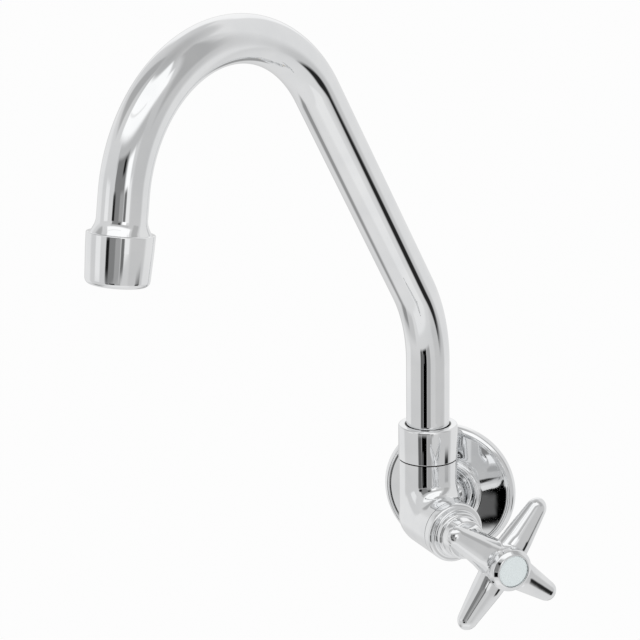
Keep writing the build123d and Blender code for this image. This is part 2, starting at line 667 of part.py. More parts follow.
def spout_tube():
    """Bent tube, one wall thickness from foot to outlet."""
    section = Plane(origin=(0, 0, TUBE_FOOT)) * (Circle(TUBE_R) - Circle(TUBE_BORE_R))
    return ON_SPOUT * sweep(section, spout_centre_line())


def outlet_ferrule():
    """Flared end piece: brazed in the tube, threaded for the aerator."""
    insert_r = TUBE_BORE_R - FIT
    flare = Spline(
        (TUBE_R, 0, 0),
        (OUTLET_FLARE_R, 0, OUTLET_FLARE_H),
        tangents=[(0, 0, 1), (0.5, 0, 1)])
    rest = Polyline(
        (OUTLET_FLARE_R, 0, OUTLET_FLARE_H),
        (OUTLET_THREAD_R, 0, OUTLET_FLARE_H),
        (OUTLET_THREAD_R, 0, AERATOR_SEAT),
        (OUTLET_BORE_R, 0, AERATOR_SEAT),
        (OUTLET_BORE_R, 0, -OUTLET_RUN / 2),
        (insert_r, 0, -OUTLET_RUN / 2),
        (insert_r, 0, 0),
        (TUBE_R, 0, 0))
    return outlet_location() * revolve(make_face([flare, rest]), Axis.Z)


def aerator_shell():
    """Tapered housing that screws onto the outlet ferrule."""
    bore = OUTLET_THREAD_R + FIT
    lip = AERATOR_END - AERATOR_LIP_T
    body = turned([
        (bore, OUTLET_FLARE_H),
        (AERATOR_R, OUTLET_FLARE_H),
        (AERATOR_FOOT_R, AERATOR_END),
        (AERATOR_LIP_R, AERATOR_END),
        (AERATOR_LIP_R, lip),
        (bore, lip)])
    body = fillet(rim(body, AERATOR_FOOT_R, AERATOR_END), AERATOR_EDGE)
    body = fillet(rim(body, AERATOR_R, OUTLET_FLARE_H), AERATOR_RIM_EDGE)
    return outlet_location() * body


def aerator_washer():
    """Rubber seal between the ferrule's end and the aerator's core."""
    return outlet_location() * washer(CORE_R, OUTLET_BORE_R, AERATOR_SEAT, AERATOR_SEAT + AERATOR_WASHER_T)


def aerator_core():
    """Moulded cup with jet holes in its floor."""
    top = AERATOR_SEAT + AERATOR_WASHER_T
    foot = AERATOR_END - AERATOR_LIP_T - SCREENS * (SCREEN_T + SCREEN_GAP)
    cup = bar(CORE_R, top, foot)
    well = bar(CORE_R - CORE_WALL, top + CORE_FLOOR, foot)
    jets = around(JETS, Pos(JET_CIRCLE, 0, 0) * bar(JET_R, top, top + CORE_FLOOR))
    return outlet_location() * (cup - well - jets)


def mesh_disc(start):
    """Thin strainer disc with rings of round holes."""
    holes = [bar(MESH_HOLE_R, start, start + SCREEN_T)]
    for i in range(1, MESH_RINGS + 1):
        hole = Pos(i * MESH_PITCH, 0, 0) * bar(MESH_HOLE_R, start, start + SCREEN_T)
        holes += around(6 * i, hole)
    return bar(CORE_R, start, start + SCREEN_T) - holes


def aerator_screens():
    """Strainer discs between the core and the shell's lip."""
    top = AERATOR_END - AERATOR_LIP_T
    starts = [top - (i + 1) * (SCREEN_T + SCREEN_GAP) + SCREEN_GAP for i in range(SCREENS)]
    return Compound(children=[outlet_location() * mesh_disc(start) for start in starts])


PIECES = {
    "wall_flange": wall_flange,
    "valve_body": valve_body,
    "valve_seat": valve_seat,
    "bonnet": bonnet,
    "bonnet_gasket": bonnet_gasket,
    "spindle": spindle,
    "plunger": plunger,
    "seat_washer": seat_washer,
    "washer_screw": washer_screw,
    "thrust_ring": thrust_ring,
    "stem_packing": stem_packing,
    "packing_nut": packing_nut,
    "handle_cross": handle_cross,
    "handle_screw": handle_screw,
    "index_ring": index_ring,
    "index_disc": index_disc,
    "spout_nut": spout_nut,
    "spout_ferrule": spout_ferrule,
    "spout_rings": spout_rings,
    "spout_tube": spout_tube,
    "outlet_ferrule": outlet_ferrule,
    "aerator_shell": aerator_shell,
    "aerator_washer": aerator_washer,
    "aerator_core": aerator_core,
    "aerator_screens": aerator_screens,
}

os.makedirs("parts", exist_ok=True)
for name, make in PIECES.items():
    export_step(make(), f"parts/{name}.step")
export_step(slip_ring(SPIGOT_TOP, SOCKET_R + FIT), "parts/lower_slip_ring.step")
export_step(slip_ring(TUBE_FOOT + PLAY, TUBE_R + GAP), "parts/upper_slip_ring.step")
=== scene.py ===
# %% [markdown]
# # A chromed wall faucet
# The faucet has a dished wall flange, a cast body with a level valve turned to the right, a cross
# handle with an index button, and a gooseneck spout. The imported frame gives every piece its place
# and its size. Its meshes could be shown as they are, but mirror chrome shows every facet. So each
# bright piece is made again as a fine mesh, and the pieces inside keep their shape and get a finish.

# %% Load the frame
import json
from math import acos, atan2, cos, degrees, pi, radians, sin, sqrt, tan

import bmesh
import bpy
import numpy as np
from mathutils import Matrix, Vector


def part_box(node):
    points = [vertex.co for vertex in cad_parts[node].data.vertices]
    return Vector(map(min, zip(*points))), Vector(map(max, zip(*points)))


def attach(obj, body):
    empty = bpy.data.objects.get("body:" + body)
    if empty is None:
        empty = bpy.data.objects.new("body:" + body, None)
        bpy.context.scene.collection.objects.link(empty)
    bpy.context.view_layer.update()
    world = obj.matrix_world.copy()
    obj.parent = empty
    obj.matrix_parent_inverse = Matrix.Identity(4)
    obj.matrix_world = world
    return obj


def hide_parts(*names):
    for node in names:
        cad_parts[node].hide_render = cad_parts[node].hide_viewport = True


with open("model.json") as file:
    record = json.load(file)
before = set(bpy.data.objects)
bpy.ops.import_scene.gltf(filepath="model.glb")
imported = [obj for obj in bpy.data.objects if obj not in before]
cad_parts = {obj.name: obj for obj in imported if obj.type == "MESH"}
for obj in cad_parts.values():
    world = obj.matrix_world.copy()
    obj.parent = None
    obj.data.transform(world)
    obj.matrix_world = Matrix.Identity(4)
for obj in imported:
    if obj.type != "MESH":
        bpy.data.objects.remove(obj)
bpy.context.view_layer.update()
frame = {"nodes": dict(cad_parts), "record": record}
MM = 0.001

# %% [markdown]
# ## Measure from the frame
# Each turned piece has an axis: the spout's column, the valve, the outlet or the inlet. The joints
# give the first two. Sizes could be copied here as numbers, but these go wrong as soon as the part
# changes. So a measuring helper reads how far a node reaches along an axis and how far out it goes,
# and the new meshes take their sizes from that.

# %% Axes of the faucet
joints = {joint["name"]: joint for joint in frame["record"]["behaviour"]["joints"]}
valve_dir = Vector(joints["handle_turn"]["axis"]).normalized()
column_foot = Vector(joints["spout_swivel"]["pos_m"])
column_foot.z = 0.0
UP = Vector((0, 0, 1))
INTO_WALL = Vector((0, 1, 0))


def axis_frame(origin, direction, side):
    """Matrix that takes local Z to a direction and local X near a side."""
    z = Vector(direction).normalized()
    x = Vector(side) - z * Vector(side).dot(z)
    x.normalize()
    y = z.cross(x)
    turn = Matrix((x, y, z)).transposed().to_4x4()
    return Matrix.Translation(origin) @ turn


on_column = axis_frame(column_foot, UP, (1, 0, 0))
on_valve = axis_frame(column_foot, valve_dir, UP.cross(valve_dir))
on_wall = axis_frame(Vector((0, 0, 0)), -INTO_WALL, (1, 0, 0))


def corners_of(node):
    """All corner points of a CAD node, in metres."""
    mesh = frame["nodes"][node].data
    flat = np.empty(len(mesh.vertices) * 3, dtype=np.float32)
    mesh.vertices.foreach_get("co", flat)
    return flat.reshape(-1, 3).astype(float)


def measure(node, place):
    """How a node lies about a frame's Z: lowest, highest, outer and inner radius."""
    back = np.array(place.inverted())
    points = corners_of(node) @ back[:3, :3].T + back[:3, 3]
    radius = np.hypot(points[:, 0], points[:, 1])
    return points[:, 2].min(), points[:, 2].max(), radius.max(), radius.min()


for node in ("spout_nut", "spout_ferrule"):
    print(node, [round(v / MM, 2) for v in measure(node, on_column)])
for node in ("bonnet", "handle_cross", "index_ring", "index_disc"):
    print(node, [round(v / MM, 2) for v in measure(node, on_valve)])

# %% [markdown]
# ## Polished chrome
# Chrome plate is a mirror with a slightly cool grey. One colour and one roughness would do from far
# away, but the real plate isn't even: polishing leaves a faint haze that comes and goes, and the
# surface under it has a soft waviness. So a noise drives the colour and the roughness by a few
# percent, and a second, larger noise bends the reflections a little. Cast pieces get more of that
# wave than drawn tube. Brass and steel use the same recipe with more haze.

# %% Material helpers
def blank_material(name):
    """A material with only its shader and output."""
    made = bpy.data.materials.new(name)
    made.use_nodes = True
    tree = made.node_tree
    tree.nodes.clear()
    shader = tree.nodes.new("ShaderNodeBsdfPrincipled")
    output = tree.nodes.new("ShaderNodeOutputMaterial")
    tree.links.new(shader.outputs["BSDF"], output.inputs["Surface"])
    return made, tree, shader


def object_noise(tree, scale, detail=4.0):
    """Noise that sits still on the object, scaled in features per metre."""
    on_object = tree.nodes.new("ShaderNodeTexCoord")
    noise = tree.nodes.new("ShaderNodeTexNoise")
    noise.inputs["Scale"].default_value = scale
    noise.inputs["Detail"].default_value = detail
    tree.links.new(on_object.outputs["Object"], noise.inputs["Vector"])
    return noise.outputs["Fac"]


def between(tree, value, low, high):
    """Takes a noise value to a range."""
    node = tree.nodes.new("ShaderNodeMapRange")
    node.inputs["From Min"].default_value = 0.3
    node.inputs["From Max"].default_value = 0.7
    node.inputs["To Min"].default_value = low
    node.inputs["To Max"].default_value = high
    tree.links.new(value, node.inputs["Value"])
    return node.outputs["Result"]


def two_tone(tree, value, dark, light):
    """Takes a noise value to a colour between two near shades."""
    ramp = tree.nodes.new("ShaderNodeValToRGB")
    ramp.color_ramp.elements[0].position = 0.3
    ramp.color_ramp.elements[0].color = (*dark, 1)
    ramp.color_ramp.elements[1].position = 0.7
    ramp.color_ramp.elements[1].color = (*light, 1)
    tree.links.new(value, ramp.inputs["Fac"])
    return ramp.outputs["Color"]


def wavy(tree, shader, value, height):
    """Bends the surface's shading by a noise of this height in metres."""
    bump = tree.nodes.new("ShaderNodeBump")
    bump.inputs["Strength"].default_value = 1.0
    bump.inputs["Distance"].default_value = height
    tree.links.new(value, bump.inputs["Height"])
    tree.links.new(bump.outputs["Normal"], shader.inputs["Normal"])


def metal(name, dark, light, haze, rough, wave, wave_scale):
    """A metal whose colour, roughness and surface vary a little from place to place."""
    made, tree, shader = blank_material(name)
    shader.inputs["Metallic"].default_value = 1.0
    cloud = object_noise(tree, haze)
    tree.links.new(two_tone(tree, cloud, dark, light), shader.inputs["Base Color"])
    fine = object_noise(tree, haze * 6, detail=6)
    tree.links.new(between(tree, fine, *rough), shader.inputs["Roughness"])
    wavy(tree, shader, object_noise(tree, wave_scale, detail=1.5), wave)
    return made


# %% Chrome, brass and steel
tube_chrome = metal(
    "tube_chrome", (0.84, 0.85, 0.86), (0.90, 0.905, 0.91), haze=60, rough=(0.02, 0.05),
    wave=0.02 * MM, wave_scale=45)
cast_chrome = metal(
    "cast_chrome", (0.83, 0.84, 0.85), (0.90, 0.905, 0.91), haze=80, rough=(0.025, 0.07),
    wave=0.06 * MM, wave_scale=90)
raw_brass = metal(
    "raw_brass", (0.60, 0.44, 0.18), (0.74, 0.57, 0.27), haze=180, rough=(0.22, 0.38),
    wave=0.02 * MM, wave_scale=900)
bright_steel = metal(
    "bright_steel", (0.55, 0.56, 0.57), (0.68, 0.69, 0.70), haze=200, rough=(0.18, 0.3),
    wave=0.01 * MM, wave_scale=1500)
print("metals:", [m.name for m in (tube_chrome, cast_chrome, raw_brass, bright_steel)])

# %% [markdown]
# ## Rubber, fibre, acetal and the index disc
# The soft and moulded pieces are small, but they show where the faucet is looked at from below or
# taken apart. Rubber is near black and matt with a fine grain, the fibre ring is brown and mottled,
# with its brown darkened as painted shade so that it reads as the shaded gap at the bonnet's foot.
# Acetal is an off-white with a satin skin, and the index disc is a glossy, very pale blue. Each could
# have a tree of its own, but they differ only in colour, grain and gloss. So one recipe makes them
# all, with a clear coat for the disc.

# %% Soft and moulded finishes
def moulded(name, dark, light, grain, rough, wave, coat=0.0):
    """A plastic or rubber with a mottled colour and a grained skin."""
    made, tree, shader = blank_material(name)
    cloud = object_noise(tree, grain)
    tree.links.new(two_tone(tree, cloud, dark, light), shader.inputs["Base Color"])
    tree.links.new(between(tree, object_noise(tree, grain * 4), *rough), shader.inputs["Roughness"])
    wavy(tree, shader, object_noise(tree, grain * 8, detail=3), wave)
    shader.inputs["Coat Weight"].default_value = coat
    shader.inputs["Coat Roughness"].default_value = 0.04
    return made


black_rubber = moulded(
    "black_rubber", (0.012, 0.012, 0.013), (0.03, 0.03, 0.032), grain=300, rough=(0.55, 0.75),
    wave=0.02 * MM)
# Brown fibre, darkened as painted shade so that the gasket reads as the shaded gap between the bonnet and
# the boss.
fibre_and_gap_shade = moulded(
    "fibre_and_gap_shade", (0.10, 0.07, 0.05), (0.19, 0.14, 0.10), grain=700, rough=(0.7, 0.9), wave=0.04 * MM)
white_acetal = moulded(
    "white_acetal", (0.72, 0.72, 0.69), (0.84, 0.84, 0.82), grain=250, rough=(0.3, 0.42), wave=0.01 * MM)
index_enamel = moulded(
    "index_enamel", (0.81, 0.88, 0.89), (0.85, 0.91, 0.92), grain=40, rough=(0.14, 0.18), wave=0.001 * MM,
    coat=0.6)
print("soft and moulded:", [m.name for m in (black_rubber, fibre_and_gap_shade, white_acetal, index_enamel)])

# %% [markdown]
# ## A finish for every CAD piece
# The record names a material slot for each piece: what it is made of. The finish could be chosen
# piece by piece, but a table from slot to finish keeps like pieces alike. The pieces that no mesh
# replaces below are shown with this finish.

# %% Finish the CAD pieces
finish_of_slot = {
    "polished_chrome": cast_chrome,
    "brass": raw_brass,
    "stainless_steel": bright_steel,
    "black_rubber": black_rubber,
    "gasket_fibre": fibre_and_gap_shade,
    "white_acetal": white_acetal,
    "index_white": index_enamel,
}
slot_of_finish = {finish.name: slot for slot, finish in finish_of_slot.items()}
slot_of_finish["tube_chrome"] = "polished_chrome"
slot_of_node = {part["node"]: part["material_slot"] for part in frame["record"]["subparts"]}
for node, shown in frame["nodes"].items():
    shown.data.materials.clear()
    shown.data.materials.append(finish_of_slot[slot_of_node[node]])
print("finished nodes:", len(slot_of_node))

# %% [markdown]
# ## Skins through rings, and a lathe
# Nearly every piece is a skin over a row of rings: a tube is rings along its centre line, an arm is
# rings that get smaller, and a turned piece is level rings of changing size. Blender's own screw and
# bevel tools could make some of them, each with its own settings. One helper that makes the faces
# between rings does them all, and a lathe helper feeds it half an outline. The outline is a list of
# corners, each with its own rounding, because a mirror edge catches light only where it is rounded.

# %% Rings, skins and outlines
def circle(radius, height, around):
    """Points of a level ring, in a piece's own frame."""
    turns = [2 * pi * k / around for k in range(around)]
    return [Vector((radius * cos(a), radius * sin(a), height)) for a in turns]


def skin(rings, loop=False):
    """Points and faces over rings of equal count, closed at both ends or into a loop."""
    around = len(rings[0])
    points = [point for ring in rings for point in ring]
    faces = []
    for i in range(len(rings) if loop else len(rings) - 1):
        low = i * around
        high = (i + 1) % len(rings) * around
        for k in range(around):
            after = (k + 1) % around
            faces.append((low + k, low + after, high + after, high + k))
    if not loop:
        faces += [tuple(reversed(range(around))), tuple(range(len(points) - around, len(points)))]
    return points, faces


def round_corners(corners, steps=7):
    """Outline through (radius, height, rounding) corners in millimetres, as metres."""
    points = [Vector((r, h)) for r, h, _ in corners]
    line = []
    for i, (_, _, rounding) in enumerate(corners):
        here = points[i]
        if rounding <= 0 or i in (0, len(corners) - 1):
            line.append(here)
            continue
        to_last = (points[i - 1] - here).normalized()
        to_next = (points[i + 1] - here).normalized()
        half = acos(max(-1, min(1, to_last.dot(to_next)))) / 2
        centre = here + (to_last + to_next).normalized() * (rounding / sin(half))
        start = here + to_last * (rounding / tan(half)) - centre
        end = here + to_next * (rounding / tan(half)) - centre
        sweep = atan2(start.x * end.y - start.y * end.x, start.dot(end))
        for k in range(steps + 1):
            c, s = cos(sweep * k / steps), sin(sweep * k / steps)
            line.append(centre + Vector((start.x * c - start.y * s, start.x * s + start.y * c)))
    return [(p.x * MM, p.y * MM) for p in line]


# %% From a skin to a piece
def as_mesh(*shapes):
    """One mesh of one or more skins."""
    points = []
    faces = []
    for some_points, some_faces in shapes:
        start = len(points)
        points += some_points
        faces += [tuple(start + i for i in face) for face in some_faces]
    mesh = bpy.data.meshes.new("rough")
    mesh.from_pydata(points, [], faces)
    return mesh


def dress(mesh, name, body, finish, *nodes, sharp=35):
    """Cleans a mesh, smooths it between sharp edges, and hangs it on its body."""
    work = bmesh.new()
    work.from_mesh(mesh)
    bmesh.ops.remove_doubles(work, verts=work.verts, dist=1e-7)
    bmesh.ops.recalc_face_normals(work, faces=work.faces)
    work.to_mesh(mesh)
    work.free()
    mesh.name = name
    mesh.shade_smooth()
    mesh.set_sharp_from_angle(angle=radians(sharp))
    mesh.materials.clear()
    mesh.materials.append(finish)
    piece = bpy.data.objects.new(name, mesh)
    bpy.context.scene.collection.objects.link(piece)
    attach(piece, body)
    for node in nodes:
        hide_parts(node)
    print(f"{name}: {len(mesh.vertices)} points")
    return piece


def lathe(name, line, place, body, finish, *nodes, around=144):
    """Spins a closed outline of (radius, height) about a frame's Z."""
    rings = [[place @ p for p in circle(r, h, around)] for r, h in line]
    return dress(as_mesh(skin(rings, loop=True)), name, body, finish, *nodes)


# %% [markdown]
# ## Wall flange
# The flange is pressed from sheet: a rounded rim, a bright shallow dish, and a raised collar round
# the shank. A thin skin with a solidify modifier would do, but the rim and the collar are thicker
# than the sheet. So it is turned in one outline that goes over the front and back again inside, and
# it has a real wall when it is seen from behind. The dish is a parabola, because the slope of every
# ring decides which part of the room it mirrors.

# %% Spin the flange
_, collar_high, flange_r, flange_hole = [v / MM for v in measure("wall_flange", on_wall)]
CREST = 6.0
SHEET = 1.2
COLLAR_R = 15.2
DISH_SLOPE, DISH_CURVE = 0.0612, 0.00383
front = round_corners([
    (flange_r - 0.8, 0, 0), (flange_r, 1.6, 2.5), (flange_r - 0.1, 4.4, 2.5), (flange_r - 1.9, CREST, 0.5),
    (flange_r - 2.5, CREST - 0.8, 0.3), (flange_r - 3.0, CREST - 0.75, 0)], 10)
dish = []
for r in np.linspace(flange_r - 3.2, COLLAR_R + 0.8, 24):
    outward = r - COLLAR_R
    dish.append((r * MM, (CREST + 0.55 - DISH_SLOPE * outward - DISH_CURVE * outward ** 2) * MM))
back = round_corners([
    (COLLAR_R + 0.6, CREST + 0.6, 0), (COLLAR_R, CREST + 0.7, 0.4), (COLLAR_R, collar_high, 0.6),
    (COLLAR_R - 1.3, collar_high, 0.5), (COLLAR_R - 2.4, CREST + 1.2, 1.0),
    (flange_hole, CREST + 0.6, 0.3), (flange_hole, CREST - 0.6, 0),
    (COLLAR_R - SHEET, CREST - 0.8, 0.8), (flange_r - 3.4, CREST - 2.2, 0.8),
    (flange_r - 2.0, CREST - 3, 0.8), (flange_r - 0.8 - SHEET, 0, 0)], 10)
lathe("flange_cover", front + dish + back, on_wall, "valve", cast_chrome, "wall_flange", around=192)

# %% [markdown]
# ## Cast body
# The body is one casting: an upright neck, a level boss at 45 degrees to the wall, and a shank. Cast
# and polished metal has no hard inside corners. A boolean union would leave them hard, and a bevel
# on such crossing curves often tears. So the rough shapes are joined by a fine voxel remesh and
# relaxed a little, which rounds the corners as a foundry fillet does. The machined faces are then
# cut flat, because a relaxed edge would look worn. Last comes the bore of the valve chamber, in
# which the plunger rises: here a boolean is right, because a drilled edge is sharp.

# %% Body: fuse, relax and trim
def bar(place, *line, around=96):
    """Closed turned shape through (radius, height) points, with flat ends."""
    return skin([[place @ p for p in circle(r, h, around)] for r, h in line])


def fused(mesh, voxel, relax):
    """The outer skin of a rough mesh, remeshed in even cells and relaxed."""
    rough = bpy.data.objects.new("rough", mesh)
    bpy.context.scene.collection.objects.link(rough)
    remesh = rough.modifiers.new("skin", "REMESH")
    remesh.mode = "VOXEL"
    remesh.voxel_size = voxel
    smooth = rough.modifiers.new("relax", "SMOOTH")
    smooth.iterations = relax
    evaluated = rough.evaluated_get(bpy.context.evaluated_depsgraph_get())
    outer = bpy.data.meshes.new_from_object(evaluated)
    bpy.data.objects.remove(rough)
    return outer


def trimmed(mesh, *cuts):
    """Cuts a mesh flat at each (point, outward direction) and closes the cut."""
    work = bmesh.new()
    work.from_mesh(mesh)
    for spot, outward in cuts:
        every = work.verts[:] + work.edges[:] + work.faces[:]
        cut = bmesh.ops.bisect_plane(work, geom=every, plane_co=spot, plane_no=outward, clear_outer=True)
        rim = [e for e in cut["geom_cut"] if isinstance(e, bmesh.types.BMEdge)]
        bmesh.ops.triangle_fill(work, edges=rim, use_beauty=True)
    work.to_mesh(mesh)
    work.free()
    return mesh


def bored(mesh, drill):
    """Takes a drill's shape out of a mesh."""
    solid, tool = (bpy.data.objects.new("rough", shape) for shape in (mesh, drill))
    for each in (solid, tool):
        bpy.context.scene.collection.objects.link(each)
    hole = solid.modifiers.new("hole", "BOOLEAN")
    hole.operation = "DIFFERENCE"
    hole.object = tool
    evaluated = solid.evaluated_get(bpy.context.evaluated_depsgraph_get())
    left = bpy.data.meshes.new_from_object(evaluated)
    for each in (solid, tool):
        bpy.data.objects.remove(each)
    return left


# %% Body: the casting
NECK_R = 12.98 * MM
BOSS_R = 13.28 * MM
PAST = 7 * MM
ELBOW_R = 19 * MM
ELBOW_TUBE_R = NECK_R * 0.98
BALL_R = NECK_R * 1.01
BODY_CELL = 0.42 * MM
BODY_RELAX = 40
shank_r = (flange_hole - 0.25) * MM
nut_low, nut_high, nut_r, nut_hole = measure("spout_nut", on_column)
neck_top = nut_low - 0.45 * MM
boss_end = measure("bonnet_gasket", on_valve)[0]
shank_end = -column_foot.y - 1.0 * MM
on_shank = axis_frame(column_foot, INTO_WALL, (1, 0, 0))
bend_centre = column_foot + (valve_dir + UP) * ELBOW_R
bend_side = UP.cross(valve_dir)
elbow_rings = []
for degree in range(0, 91, 5):
    inward = valve_dir * cos(radians(degree)) + UP * sin(radians(degree))
    ring_place = axis_frame(bend_centre - inward * ELBOW_R, bend_side.cross(inward), bend_side)
    elbow_rings.append([ring_place @ p for p in circle(ELBOW_TUBE_R, 0, 96)])
ball = [(BALL_R * sin(pi * i / 48), BALL_R * cos(pi * i / 48)) for i in range(1, 48)]
rough_body = as_mesh(
    bar(on_column, (NECK_R, 0), (NECK_R, neck_top + PAST)),
    bar(on_valve, (BOSS_R, 0), (BOSS_R, boss_end + PAST)),
    bar(on_shank, (shank_r, 0), (shank_r, shank_end + PAST)),
    bar(on_column, *ball),
    skin(elbow_rings))
casting_mesh = trimmed(
    fused(rough_body, BODY_CELL, BODY_RELAX),
    (column_foot + UP * neck_top, UP),
    (column_foot + valve_dir * boss_end, valve_dir),
    (column_foot + INTO_WALL * shank_end, INTO_WALL))
print("casting before its bore:", len(casting_mesh.vertices), "points")

# %% Body: the valve chamber
plunger_low, plunger_high, plunger_r, _ = measure("plunger", on_valve)
chamber_r = plunger_r + 1.0 * MM
chamber_floor = plunger_low - 1.0 * MM
screw_low = measure("washer_screw", on_valve)[0]
seat_bore_r = measure("valve_seat", on_valve)[3]
chamber = as_mesh(bar(
    on_valve, (seat_bore_r, screw_low - 1.0 * MM), (seat_bore_r, chamber_floor),
    (chamber_r, chamber_floor), (chamber_r, boss_end + PAST)))
dress(bored(casting_mesh, chamber), "body_casting", "valve", cast_chrome, "valve_body", sharp=40)

# %% [markdown]
# ## Inlet thread
# Behind the flange the shank ends in a pipe thread that screws into the wall. Level grooves would
# look much the same, but a real thread climbs as it turns. It could be swept along a helix, which
# leaves ends to join. Here plain rings are used instead, and every point moves in or out by its
# phase: how far its height and its turn are from the ridge's crest. The ridge fades out at both
# ends, as a cut thread does.

# %% Cut the thread
PITCH = 25.4 / 14
DEPTH = 1.2
THREAD_R = 10.67
BORE = 7.0
STEPS_PER_PITCH = 10
CREST_FLAT = 1.15
thread_end = measure("valve_body", on_shank)[1] / MM
thread_start = shank_end / MM - 0.5
row_count = int((thread_end - thread_start) / PITCH * STEPS_PER_PITCH)
thread_rings = []
for i in range(row_count + 1):
    height = thread_start + (thread_end - thread_start) * i / row_count
    full = min(1, (height - thread_start) / PITCH, (thread_end - height) / PITCH)
    ring = []
    for k, flat in enumerate(circle(1, 0, 96)):
        ridge = 1 - abs(2 * ((height / PITCH - k / 96) % 1) - 1)
        r = THREAD_R - DEPTH * (1 - full * min(1, ridge * CREST_FLAT))
        ring.append(on_shank @ Vector((flat.x * r * MM, flat.y * r * MM, height * MM)))
    thread_rings.append(ring)
for height in (thread_end, thread_start):
    thread_rings.append([on_shank @ p for p in circle(BORE * MM, height * MM, 96)])
thread_mesh = as_mesh(skin(thread_rings, loop=True))
dress(thread_mesh, "inlet_thread", "valve", raw_brass, "valve_body", sharp=30)

# %% [markdown]
# ## Bonnet
# The bonnet is the stepped round piece that screws into the boss. Two steps lead down to the nut
# that presses the packing. Stacked cylinders would have hard edges, which mirror nothing. So it is
# one turned outline whose step edges are rounded by about a millimetre, which gives the thin bright
# rings of a turned chrome piece. Inside, a guide bore leaves the plunger room to rise.

# %% Spin the bonnet
_, bonnet_high, bonnet_r, _ = [v / MM for v in measure("bonnet", on_valve)]
_, gasket_top, gasket_r, _ = [v / MM for v in measure("bonnet_gasket", on_valve)]
STEM_HOLE_R = 6.3
FLANGE_T = 4.9
RUNNING_GAP = 0.3
foot = boss_end / MM + 0.15
flange_top = boss_end / MM + FLANGE_T
lift = joints["plunger_lift"]["range_m"][1] / MM
guide_r = plunger_r / MM + RUNNING_GAP
guide_top = plunger_high / MM + lift + RUNNING_GAP
bonnet_line = [
    (guide_r, gasket_top, 0), (gasket_r + 0.05, gasket_top, 0), (gasket_r + 0.05, foot, 0),
    (bonnet_r - 0.3, foot, 0.3), (bonnet_r - 0.3, flange_top, 1.4), (10.6, flange_top - 0.1, 1.0),
    (10.3, flange_top + 3.1, 1.2), (9.0, flange_top + 3.6, 0.8), (8.7, bonnet_high, 1.0),
    (STEM_HOLE_R, bonnet_high, 0), (STEM_HOLE_R, guide_top, 0), (guide_r, guide_top, 0)]
lathe("bonnet_cap", round_corners(bonnet_line), on_valve, "valve", cast_chrome, "bonnet")

# %% [markdown]
# ## Cross handle
# Four tapered arms stand on a hub. Their section is an oval with slightly flat flanks, wider than it
# is deep, and it gets smaller towards a round nose. Such a handle could be modelled by hand from a
# box with subdivision, but its arms would hardly come out equal. So each arm is a skin over ovals,
# turned four times. As a casting it has soft inside corners where two arms meet, so the arms and the
# hub are fused by a fine remesh and then relaxed, which hardly moves the noses but fills the corners.

# %% Handle: arms and hub
hub_low, hub_high, handle_reach, _ = [v / MM for v in measure("handle_cross", on_valve)]
ARMS = 4
ARM_ANGLE = radians(-36.9)
ARM_PLANE = 65.1
TIP_R = 4.1
SECTION_POWER = 2.3
HALF_WIDTH, WIDTH_TAPER = 8.3, 0.1385
HALF_HEIGHT, HEIGHT_TAPER = 6.65, 0.1125
HANDLE_CELL = 0.24 * MM
HANDLE_RELAX = 30
arm_reach = handle_reach - TIP_R


def oval(wide, high, count=72):
    """Section of an arm: an ellipse whose flanks are a little flat."""
    section = []
    for flat in circle(1, 0, count):
        size = (abs(flat.x) ** SECTION_POWER + abs(flat.y) ** SECTION_POWER) ** (-1 / SECTION_POWER)
        section.append((wide * size * flat.x, high * size * flat.y))
    return section


def arm_rings(angle, stations=46):
    """Rings of one arm, from inside the hub to its nose."""
    out = Vector((cos(angle), sin(angle), 0))
    across = Vector((-sin(angle), cos(angle), 0))
    rings = []
    for i in range(stations + 1):
        along = handle_reach * (1 - (1 - i / stations) ** 1.8)
        nose = sqrt(max(1e-5, 1 - (max(0, along - arm_reach) / TIP_R) ** 2))
        wide = (HALF_WIDTH - WIDTH_TAPER * along) * nose
        high = min(HALF_HEIGHT - HEIGHT_TAPER * along, hub_high - ARM_PLANE) * nose
        middle = out * along + UP * ARM_PLANE
        spots = [middle + across * x + UP * y for x, y in oval(wide, high)]
        rings.append([on_valve @ (spot * MM) for spot in spots])
    return rings


hub_line = round_corners([
    (0, hub_low, 0), (6.8, hub_low, 0.6), (7.3, 50, 6), (8.4, 58, 8), (9.2, 64, 4), (9.2, hub_high, 0.5),
    (0, hub_high, 0)])
arms = [skin(arm_rings(ARM_ANGLE + 2 * pi * k / ARMS)) for k in range(ARMS)]
rough_handle = as_mesh(bar(on_valve, *hub_line[1:-1]), *arms)
handle_mesh = fused(rough_handle, HANDLE_CELL, HANDLE_RELAX)
dress(handle_mesh, "cross_handle", "handle", cast_chrome, "handle_cross", sharp=60)

# %% [markdown]
# ## Index button
# A bright ring with a pale disc closes the handle's front. The ring's back edge is knurled so that
# it can be gripped, which shows as a row of tiny sparkles. A bump in the material would keep a round
# edge in silhouette, so the teeth are real: the radius of the turned ring falls and rises again as
# it goes round. The disc is left plain.

# %% Ring and disc
_, ring_high, ring_r, _ = [v / MM for v in measure("index_ring", on_valve)]
disc_low, disc_high, disc_r, _ = [v / MM for v in measure("index_disc", on_valve)]
RING_BORE_R = 5.0
DISC_GAP = 0.12
KNURLS = 96
KNURL_H = 1.0
KNURL_DEPTH = 0.22
knurl_top = hub_high + KNURL_H
ring_line = round_corners([
    (RING_BORE_R, hub_high, 0), (ring_r - 0.2, hub_high, 0.15), (ring_r, hub_high + 0.3, 0),
    (ring_r, knurl_top, 0), (ring_r - 0.25, knurl_top + 0.15, 0.1), (ring_r, knurl_top + 0.4, 0.2),
    (ring_r - 0.35, hub_high + 3.4, 1.2), (ring_r - 2.1, ring_high, 1.3),
    (disc_r + DISC_GAP, ring_high, 0.12), (disc_r + DISC_GAP, disc_low, 0), (RING_BORE_R, disc_low, 0)])
index_ring = lathe(
    "index_ring_bright", ring_line, on_valve, "handle", cast_chrome, "index_ring", around=KNURLS * 6)
to_local = on_valve.inverted()
